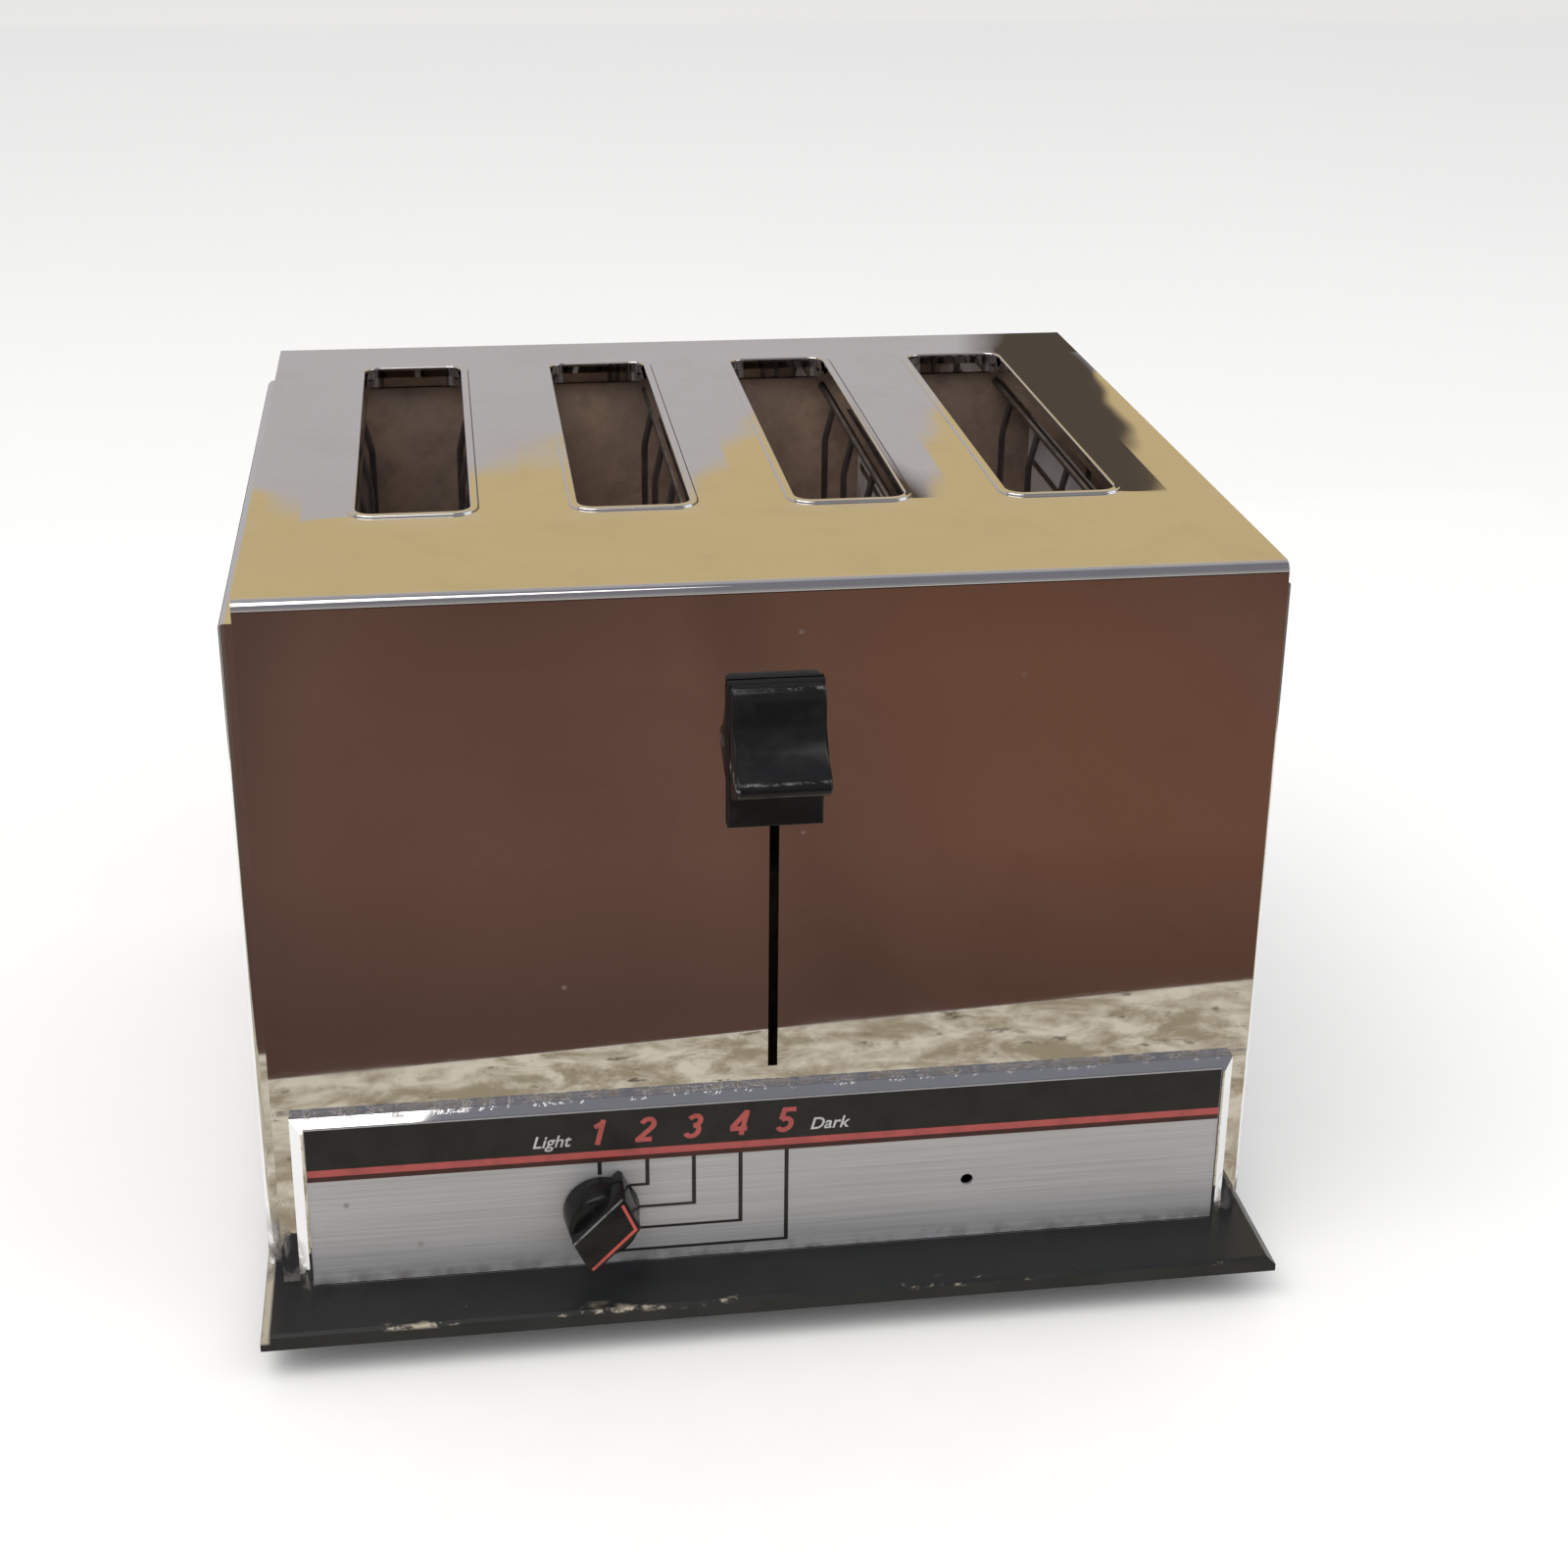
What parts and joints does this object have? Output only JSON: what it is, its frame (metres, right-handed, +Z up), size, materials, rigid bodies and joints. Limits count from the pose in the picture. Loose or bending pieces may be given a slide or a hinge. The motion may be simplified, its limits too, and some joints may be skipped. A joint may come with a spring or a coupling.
{
  "type": "pop-up toaster",
  "caption": "Chrome pop-up toaster with long bread slots in its top, a front lift lever, a browning dial on a low brushed panel, a wide black base and a hinged crumb door underneath.",
  "frame": {"origin": "middle of the footprint, on the surface that the feet stand on", "axes": "+X is to the right of someone facing the control panel, +Y runs from the front to the back, +Z is up"},
  "size_m": [0.239, 0.243, 0.1816],
  "materials": {
    "chrome_wrap": "mirror chrome plate, fine scratches",
    "chrome_trim": "bright chrome plate, pitted at the edges",
    "brushed_plate": "horizontally brushed aluminium",
    "black_phenolic": "glossy black moulding, worn at the edges",
    "black_plastic": "satin black moulding",
    "foot_rubber": "matt black rubber",
    "heat_steel": "aluminised steel, stained brown by heat",
    "zinc_steel": "zinc-plated steel",
    "mica": "grey mica sheet",
    "nichrome": "oxidised nickel-chrome ribbon",
    "guard_wire": "heat-darkened steel wire",
    "spring_steel": "oiled spring wire",
    "brass": "turned brass",
    "coil_winding": "enamelled copper winding",
    "insulator": "brown phenolic insulator"
  },
  "bodies": {
    "body": {"outer_shell": "chrome_wrap", "side_panel_left": "chrome_trim", "side_panel_right": "chrome_trim", "control_bezel": "chrome_trim", "control_faceplate": "brushed_plate", "base_plate": "black_phenolic", "foot_front_left": "foot_rubber", "foot_front_right": "foot_rubber", "foot_rear_left": "foot_rubber", "foot_rear_right": "foot_rubber", "cord_bushing": "foot_rubber", "foot_screws": "zinc_steel", "base_screws": "zinc_steel", "mechanism_base_bracket": "zinc_steel", "mechanism_top_bracket": "zinc_steel", "guide_rods": "zinc_steel", "magnet_core": "zinc_steel", "crumb_hinge_pin": "zinc_steel", "chassis_plate_front": "heat_steel", "chassis_plate_rear": "heat_steel", "heat_shield_left": "heat_steel", "heat_shield_right": "heat_steel", "element_card_1": "mica", "element_ribbon_1": "nichrome", "guard_wires_1": "guard_wire", "element_card_2": "mica", "element_ribbon_2": "nichrome", "guard_wires_2": "guard_wire", "element_card_3": "mica", "element_ribbon_3": "nichrome", "guard_wires_3": "guard_wire", "element_card_4": "mica", "element_ribbon_4": "nichrome", "guard_wires_4": "guard_wire", "element_card_5": "mica", "element_ribbon_5": "nichrome", "guard_wires_5": "guard_wire", "lift_spring_left": "spring_steel", "lift_spring_right": "spring_steel", "dial_bushing": "brass", "switch_contacts": "brass", "bus_bars": "brass", "magnet_coil": "coil_winding", "switch_block": "insulator", "browning_control": "insulator", "terminal_block": "insulator"},
    "carriage": {"bread_rack_1": "zinc_steel", "bread_rack_2": "zinc_steel", "bread_rack_3": "zinc_steel", "bread_rack_4": "zinc_steel", "carriage_crosshead": "zinc_steel", "carriage_bushes": "brass", "carriage_rear_link": "zinc_steel", "lever_arm": "zinc_steel", "lever_plate": "black_plastic", "lever_knob": "black_plastic", "armature_plate": "zinc_steel"},
    "dial": {"dial_knob": "black_plastic", "dial_shaft": "zinc_steel"},
    "crumb_door": {"crumb_door": "heat_steel"}
  },
  "joints": [
    {"name": "lift_slide", "type": "slide", "parent": "body", "child": "carriage", "axis": [0, 0, 1], "range_m": [-0.064, 0], "stiffness_N_per_m": 120, "springref_m": 0.06, "deforming": ["lift_spring_left", "lift_spring_right"]},
    {"name": "dial_turn", "type": "hinge", "parent": "body", "child": "dial", "pos_m": [-0.0408, -0.11, 0.0288], "axis": [0, 1, 0], "range_deg": [-45, 120]},
    {"name": "crumb_door_hinge", "type": "hinge", "parent": "body", "child": "crumb_door", "pos_m": [0, 0.0916, 0.0054], "axis": [1, 0, 0], "range_deg": [0, 90]}
  ]
}
